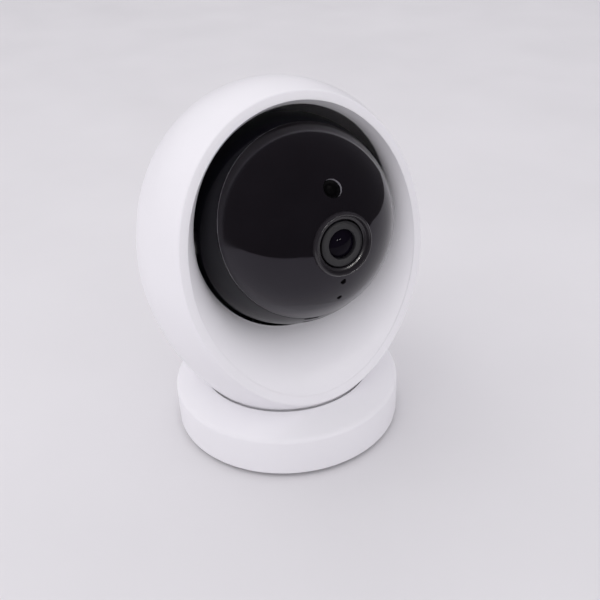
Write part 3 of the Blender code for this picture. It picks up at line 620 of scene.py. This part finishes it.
def build_rear_shell():
    """The hollow egg behind the rim, open at the front and over the turntable."""
    outer, inner = egg_line(0.0), egg_line(EGG_WALL)
    outer_rim = rim_loop(TURN, outer, 0.0)
    inner_rim = rim_loop(TURN, inner, 0.0)
    across = unit(inner_rim - outer_rim)
    _, whole = surface_rows(outer_rim, outer, [1.0])
    length = whole * np.linalg.norm(outer_rim - EGG_CENTRE, axis=1)

    # The rim's outer edge is rounded by about half a millimetre, and its inner edge is crisp
    outer_shares = [*np.linspace(0.014, 0.97, 84), 1 - 0.5 / length]
    inner_shares = [1 - CRISP / length, *np.linspace(0.97, 0.03, 40)]
    outer_rows, _ = surface_rows(outer_rim, outer, outer_shares)
    inner_rows, _ = surface_rows(inner_rim, inner, inner_shares)
    face_out = outer_rim + across * RIM_ROUNDING
    face_in = inner_rim - across * 0.05

    back = -RIM_NORMAL
    poles = [EGG_CENTRE + back * float(egg_reach(back[None], line)[0]) for line in (outer, inner)]
    loops = [poles[0][None]]
    loops += outer_rows
    loops += bend(outer_rows[-1], outer_rim, face_out)
    loops += [face_out, face_in]
    loops += bend(face_in, inner_rim, inner_rows[0], 3)
    loops += inner_rows
    loops.append(poles[1][None])
    shell = loft("body_shell", loops, WHITE)

    # Below the floor only the round neck over the turntable is left
    neck = [(0.0, 18.0), (26.2, 18.0), (26.42, 18.04), (26.6, 18.13), (26.75, SHELL_FLOOR)]
    section = [*neck, (90.0, SHELL_FLOOR), (90.0, -40.0), (0.0, -40.0)]
    floor = lathe("floor_cut", section, WHITE, steps=224)
    carve(shell, [floor, *grille_cutters(outer)])
    settle(shell, "body", "white_abs", "rear_shell")


def build_bezel():
    """The funnel from the rim in to the lip round the ball, with a skirt inside the rear shell."""
    line = egg_line(EGG_WALL + BEZEL_PLAY)
    outer = rim_loop(TURN, line, BEZEL_RECESS)
    back = rim_loop(TURN, line, BEZEL_SKIRT)
    up = np.array([0.0, math.sin(OPENING_LEAN), math.cos(OPENING_LEAN)])

    def opening(margin):
        across = (OPENING_HALF[0] + margin) * np.cos(TURN)[:, None] * RIGHT
        return OPENING_CENTRE + across + (OPENING_HALF[1] + margin) * np.sin(TURN)[:, None] * up

    edge = opening(0.0)
    behind = opening(LIP_THICKNESS) + np.array([0.0, LIP_DEPTH, 0.0])
    inwards = unit(edge - outer)
    start = outer + inwards * CRISP
    stop = edge - inwards * LIP_ROUNDING
    loops = [outer + unit(back - outer) * CRISP]
    loops += bend(loops[0], outer, start, 3)
    loops.append(start)

    # Low down the funnel leaves the rim in the rim's own plane, so no edge shows at the chin
    blend = np.clip(0.4 - 0.6 * np.sin(TURN), 0, 1)[:, None]
    length = np.linalg.norm(stop - start, axis=1)[:, None]
    level = unit(rim_loop(TURN, egg_line(EGG_WALL + 1.0), BEZEL_RECESS) - outer)
    middle = (start + stop) / 2
    bulge = middle + blend * (start + level * length / 2 - middle)
    loops += bend(start, bulge, stop, 32)
    loops.append(stop)

    turned_in = edge + unit(behind - edge) * 0.35
    loops += bend(stop, edge, turned_in, 4)
    loops += [turned_in, behind]
    loops += [behind + (back - behind) * share for share in (0.25, 0.5, 0.75)]
    loops.append(back)
    bezel = loft("front_funnel", loops, WHITE, closed=True)
    settle(bezel, "body", "white_abs", "front_bezel")


# ---------------------------------------------------------------- ball


BALL_WALL = 1.8
DOME_WALL = 1.7
SEAM_GAP = 0.03
BALL_SHARP = 30.0
LENS_BORE = 8.2
STATUS_HOLE, MICROPHONE_HOLE, WINDOW_HOLE, RESET_HOLE = 0.78, 0.7, 2.62, 1.4
BUSH_SEAT_LEFT, BUSH_SEAT_RIGHT = 5.5, 4.3
PAINTED_HIGHLIGHT_WIDTH = 0.33
CARD_SLOT = (11.6, 1.45, 8.0)
SEAM_NOTCH = (4.4, 1.1, 1.2)


def drill(matrix, radius, low, high, flare, surface, steps=32):
    """A hole's cutter whose mouth opens out by flare at the surface."""
    section = [
        (0, high),
        (radius + flare + high - surface, high),
        (radius, surface - flare),
        (radius, low),
        (0, low),
    ]
    return lathe("drill", section, SATIN, matrix, steps)


def bore(matrix, radius, steps):
    """A straight cutter through the ball's wall."""
    section = [(0, 40), (radius, 40), (radius, 20), (0, 20)]
    return lathe("bore", section, SATIN, matrix, steps)


def build_ball_shell():
    """The band of the ball behind the crease, with its bush seats, card slot and reset hole."""
    inner = BALL_RADIUS - BALL_WALL
    start = math.acos(CREASE_IN_BALL / BALL_RADIUS) + SEAM_GAP / BALL_RADIUS
    inner_start = math.acos(CREASE_IN_BALL / inner) + SEAM_GAP / inner
    outer_arc = arc(BALL_RADIUS, start, math.pi, 80)
    inner_arc = arc(inner, math.pi, inner_start, 40)
    outer_arc[0] = (*outer_arc[0], 0.1)
    outer_arc[-1] = (0.0, -BALL_RADIUS)
    inner_arc[0] = (0.0, -inner)
    section = inner_arc[:-1] + [(*inner_arc[-1], 0.1)] + outer_arc
    shell = lathe("ball_band", rounded(section, closed=False), SATIN, SHELL, steps=192)
    cutters = [
        bore(sideways(-1), BUSH_SEAT_LEFT, 64),
        bore(sideways(1), BUSH_SEAT_RIGHT, 64),
        rounded_box("slot", CARD_SLOT, 0.6, CARD @ Matrix.Translation((0, 0, 0.030))),
        drill(RESET, RESET_HOLE, 26.0, 34.0, 0.15, BALL_RADIUS),
    ]
    carve(shell, cutters, BALL_SHARP)
    notch_at = SEAM @ Matrix.Translation((-0.0044, 0, 0.0306))
    notch = rounded_box("notch", SEAM_NOTCH, 0.4, notch_at)
    carve(shell, [notch], BALL_SHARP, RECESS)
    settle(shell, "camera_ball", "black_satin", "ball_shell")


def build_dome():
    """The gloss cap in front of the crease, with a painted highlight along its edge and holes for lens and
    sensors.
    """
    inner = DOME_RADIUS - DOME_WALL
    stop = DOME_HALF_ANGLE - SEAM_GAP / DOME_RADIUS
    inner_stop = math.acos(CREASE_IN_DOME / inner) - SEAM_GAP / inner
    outer_arc = arc(DOME_RADIUS, 0, stop, 72)
    inner_arc = arc(inner, inner_stop, 0, 36)
    outer_arc[0] = (0.0, DOME_RADIUS)
    outer_arc[-1] = (*outer_arc[-1], 0.22)
    inner_arc[-1] = (0.0, inner)
    inner_arc[0] = (*inner_arc[0], 0.1)
    section = rounded(outer_arc + inner_arc, closed=False)
    dome = lathe("dome_cover", section, GLOSS, DOME, steps=224)
    dome.data.materials.append(PAINTED_HIGHLIGHT)
    # The fillet faces next to the crease take the lighter grey, a painted highlight line along the edge
    to_dome = DOME.inverted()
    for face in dome.data.polygons:
        place = to_dome @ face.center / MM
        low_down = place.z < CREASE_IN_DOME + PAINTED_HIGHLIGHT_WIDTH
        if low_down and place.xy.length > CREASE_RADIUS - 0.3:
            face.material_index = 1
    cutters = [
        bore(LENS, LENS_BORE, 96),
        drill(STATUS, STATUS_HOLE, 24.0, 33.0, 0.16, DOME_RADIUS),
        drill(MICROPHONE, MICROPHONE_HOLE, 24.0, 33.0, 0.14, DOME_RADIUS),
    ]
    carve(dome, cutters, BALL_SHARP, GLOSS)
    # The window hole's walls take the same lighter grey, a painted glint round the window
    window = drill(WINDOW, WINDOW_HOLE, 24.0, 33.0, 0.07, DOME_RADIUS, 64)
    carve(dome, [window], BALL_SHARP, PAINTED_HIGHLIGHT)
    settle(dome, "camera_ball", "black_gloss", "front_dome")


def build_lens():
    """The raised ring round the lens, the barrel inside it and the front glass."""
    ring = [
        (6.55, 24.0),
        (6.55, 27.9, 0.1),
        (6.75, 28.1, 0.1),
        (7.35, 28.22, 0.25),
        (7.75, 29.2, 0.3),
        (8.2, 29.5, 0.35),
        (8.65, 28.95, 0.4),
        (8.75, 28.0, 0.1),
        (7.85, 27.95),
        (7.85, 24.0),
    ]
    ring = lathe("lens_surround", rounded(ring[::-1], segments=6), RING, LENS, 128)
    settle(ring, "camera_ball", "black_satin", "lens_ring")

    barrel = [
        (6.2, 16.3),
        (6.2, 28.15, 0.25),
        (5.4, 28.35, 0.3),
        (4.15, 28.3, 0.1),
        (3.95, 28.05, 0.1),
        (3.9, 22.0),
        (4.4, 22.0),
        (4.4, 16.3),
    ]
    barrel = lathe("lens_tube", rounded(barrel, segments=5), MATTE, LENS, 128)
    settle(barrel, "camera_ball", "black_matte", "lens_barrel")

    radius, half, top = 9.0, 3.87, 28.2
    cap = arc(radius, 0, math.asin(half / radius), 18)
    cap = [(r, z + top - radius) for r, z in cap]
    glass = lathe("lens_glass", [*cap, (half, 25.0), (0, 25.0)], GLASS, LENS, 96)
    settle(glass, "camera_ball", "coated_glass", "lens_front_glass")


def build_window():
    """The light sensor's window, a dark bowl with a raised rim."""
    window = [
        (0, 27.1),
        (0.7, 27.15, 0.3),
        (1.3, 27.5, 0.3),
        (1.9, 28.3, 0.3),
        (2.25, 28.62, 0.15),
        (2.5, 28.6, 0.1),
        (2.5, 26.0),
        (0, 26.0),
    ]
    window = lathe("sensor_window", rounded(window, closed=False), RECESS, WINDOW, 96)
    settle(window, "camera_ball", "black_gloss", "light_sensor_window")


# ---------------------------------------------------------------- studio


def glow(name, colour, strength):
    material = bpy.data.materials.new(name)
    material.use_nodes = True
    tree = material.node_tree
    tree.nodes.clear()
    light = shader_node(tree, "ShaderNodeEmission", Color=(*colour, 1.0), Strength=strength)
    out = tree.nodes.new("ShaderNodeOutputMaterial")
    tree.links.new(light.outputs["Emission"], out.inputs["Surface"])
    return material


def only_reflected(obj):
    """Part of the room that shows in gloss alone, and neither lights nor shades anything."""
    obj.visible_camera = False
    obj.visible_diffuse = False
    obj.visible_transmission = False
    obj.visible_volume_scatter = False
    obj.visible_shadow = False


def stage_mesh(name, points, faces, material):
    mesh = bpy.data.meshes.new(name)
    mesh.from_pydata(points, [], faces)
    mesh.materials.append(material)
    obj = bpy.data.objects.new(name, mesh)
    bpy.context.scene.collection.objects.link(obj)
    return obj


def stage_ball(name, material, make, **shape):
    """A ball made by one of the bmesh operators, seen only in gloss."""
    bm = bmesh.new()
    make(bm, **shape)
    mesh = bpy.data.meshes.new(name)
    bm.to_mesh(mesh)
    bm.free()
    mesh.materials.append(material)
    obj = bpy.data.objects.new(name, mesh)
    bpy.context.scene.collection.objects.link(obj)
    only_reflected(obj)
    return obj


def build_table():
    """A wide pale table for light and shadow, of which gloss shows only the lit part."""
    cloth = finish("pale_table", (0.73, 0.72, 0.735), 0.6, (300.0, 0.1), (9.0, 0.02), 0.05)
    size = 4.0
    corners = [(-size, -size, 0), (size, -size, 0), (size, size, 0), (-size, size, 0)]
    stage_mesh("table", corners, [(0, 1, 2, 3)], cloth)

    # Beyond this edge, in metres, the table reflects as dark, as the black dome shows
    inner = [
        (0.62, -0.262),
        (-0.098, -0.262),
        (-0.206, -0.188),
        (-0.275, -0.137),
        (-0.345, -0.06),
        (-0.33, 0.06),
        (-0.29, 0.119),
        (-0.3, 0.95),
        (0.62, 0.95),
    ]
    outer = [(x * 14 - 1.2, (y - 0.3) * 12) for x, y in inner]
    just_above = 0.0004
    count = len(inner)
    points = [(x, y, just_above) for x, y in inner + outer]
    faces = [(i, (i + 1) % count, count + (i + 1) % count, count + i) for i in range(count)]
    dark = glow("dark_room_floor", (0.95, 0.9, 1.0), 0.1)
    only_reflected(stage_mesh("room_floor", points, faces, dark))
    walls = glow("dark_room", (0.92, 0.88, 1.0), 0.11)
    stage_ball("room", walls, bmesh.ops.create_icosphere, subdivisions=4, radius=6.0)


def build_lamps():
    """Two far lamps, which show only as glints in the lens and its surround."""
    lens = Vector((0.0, -0.036, 0.077))
    far = 2.0
    spark = glow("far_lamp", (1.0, 0.98, 0.95), 150.0)
    for name, way, size in (
        ("lamp_a", (0.198, -0.975, 0.09), 0.026),
        ("lamp_b", (0.365, -0.93, 0.08), 0.032),
    ):
        make = bmesh.ops.create_uvsphere
        lamp = stage_ball(name, spark, make, u_segments=16, v_segments=8, radius=size)
        lamp.location = lens + Vector(way).normalized() * far


def soft_light(name, at, size, power, colour):
    """A round area light that points at the object and shows in no gloss."""
    data = bpy.data.lights.new(name, "AREA")
    data.shape = "DISK"
    data.size = size
    data.energy = power
    data.color = colour
    lamp = bpy.data.objects.new(name, data)
    lamp.location = at
    way = Vector((0, 0, 0.05)) - Vector(at)
    lamp.rotation_euler = way.to_track_quat("-Z", "Y").to_euler()
    lamp.visible_glossy = False
    bpy.context.scene.collection.objects.link(lamp)


def build_world():
    """An even pale surround, a little brighter from the left, the back and low down."""
    world = bpy.data.worlds.new("studio")
    world.use_nodes = True
    tree = world.node_tree
    background = tree.nodes["Background"]
    background.inputs["Color"].default_value = (0.975, 0.96, 1.0, 1.0)
    where = tree.nodes.new("ShaderNodeTexCoord")
    slope = tree.nodes.new("ShaderNodeVectorMath")
    slope.operation = "DOT_PRODUCT"
    slope.inputs[1].default_value = (-0.12, 0.06, -0.2)
    tree.links.new(where.outputs["Generated"], slope.inputs[0])
    level = tree.nodes.new("ShaderNodeMath")
    level.inputs[1].default_value = 1.13
    tree.links.new(slope.outputs["Value"], level.inputs[0])
    tree.links.new(level.outputs["Value"], background.inputs["Strength"])
    bpy.context.scene.world = world


def build_studio():
    build_table()
    build_lamps()
    soft_light("overhead", (-0.5, 0.1, 1.0), 0.9, 1.5, (1.0, 0.98, 0.97))
    build_world()
    bpy.context.scene.view_settings.view_transform = "Standard"


def build_camera():
    """The photo's viewpoint: in front to the left, above, and slightly rolled."""
    azimuth, elevation, roll = math.radians(-27.79), math.radians(30.8), math.radians(-2.15)
    distance, aim_aside, aim_height = 0.2546, 5.36, 40.86
    back = Vector(
        (
            math.sin(azimuth) * math.cos(elevation),
            -math.cos(azimuth) * math.cos(elevation),
            math.sin(elevation),
        )
    )
    level = Vector((math.cos(azimuth), math.sin(azimuth), 0.0))
    up = back.cross(level)
    right = level * math.cos(roll) + up * math.sin(roll)
    top = up * math.cos(roll) - level * math.sin(roll)
    aim = (aim_aside * math.cos(azimuth), aim_aside * math.sin(azimuth), aim_height)
    target = Vector(aim) * MM
    data = bpy.data.cameras.new("camera")
    data.sensor_width = 36.0
    data.lens = 48.11
    data.clip_start = 0.01
    camera = bpy.data.objects.new("camera", data)
    turn = Matrix((right, top, back)).transposed()
    camera.matrix_world = Matrix.Translation(target + back * distance) @ turn.to_4x4()
    bpy.context.scene.collection.objects.link(camera)
    bpy.context.scene.camera = camera


build_base()
build_rear_shell()
build_bezel()
build_ball_shell()
build_dome()
build_lens()
build_window()
build_studio()
build_camera()
